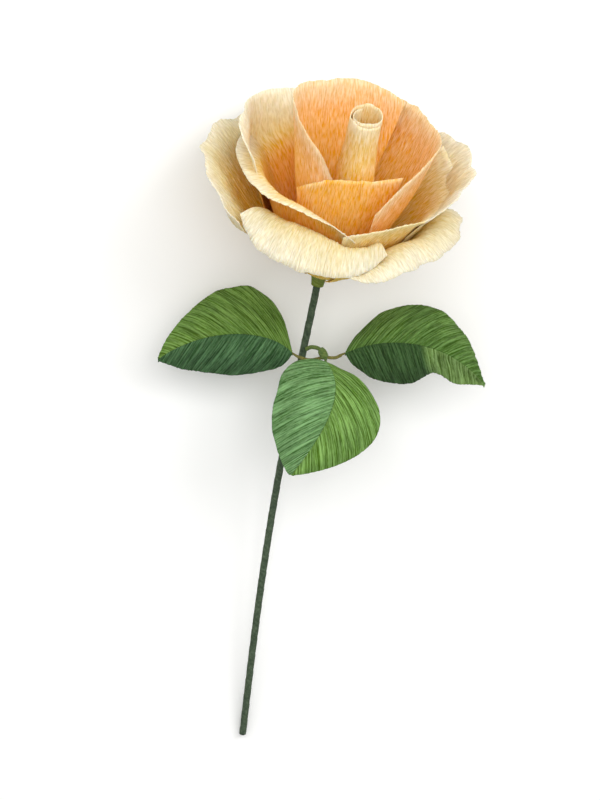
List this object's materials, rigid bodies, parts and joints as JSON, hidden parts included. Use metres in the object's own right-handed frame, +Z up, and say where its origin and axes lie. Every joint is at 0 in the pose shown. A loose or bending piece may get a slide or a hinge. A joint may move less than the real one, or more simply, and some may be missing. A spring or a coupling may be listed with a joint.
{
  "type": "crepe paper rose",
  "caption": "Full-blown paper rose with a rolled centre, nested curled petals, a wrapped stem and a branch of three folded leaves.",
  "frame": {"origin": "centre of the bounding box at its base, where the petals and the stem end touch the ground", "axes": "+Z up, +Y along the stem toward the bloom, +X to the right of the flower seen from its front, which faces up"},
  "size_m": [0.1542, 0.3381, 0.109],
  "materials": {
    "peach": "matte",
    "gold": "matte",
    "cream": "matte",
    "leaf": "matte",
    "stem": "matte",
    "collar": "matte",
    "steel": "satin",
    "tape": "matte"
  },
  "bodies": {
    "root": {"centre_roll": "peach", "petal_inner_back_left": "peach", "petal_inner_front": "peach", "petal_inner_back_right": "peach", "petal_middle_left": "gold", "petal_middle_back_left": "gold", "petal_middle_right": "gold", "petal_outer_front": "cream", "petal_outer_right": "cream", "petal_outer_left": "cream", "petal_outer_front_right": "cream", "petal_outer_back_left": "cream", "petal_outer_back_right": "cream", "stem_wire": "steel", "stem_wrap": "stem", "calyx_collar": "collar", "petal_binding": "tape", "leaf_branch": "tape", "leaf_joint_wrap": "tape", "petiole_left": "tape", "petiole_right": "tape", "leaf_left_upper": "leaf", "leaf_left_lower": "leaf", "leaf_right_upper": "leaf", "leaf_right_lower": "leaf", "leaf_front_left": "leaf", "leaf_front_right": "leaf"}
  },
  "joints": []
}
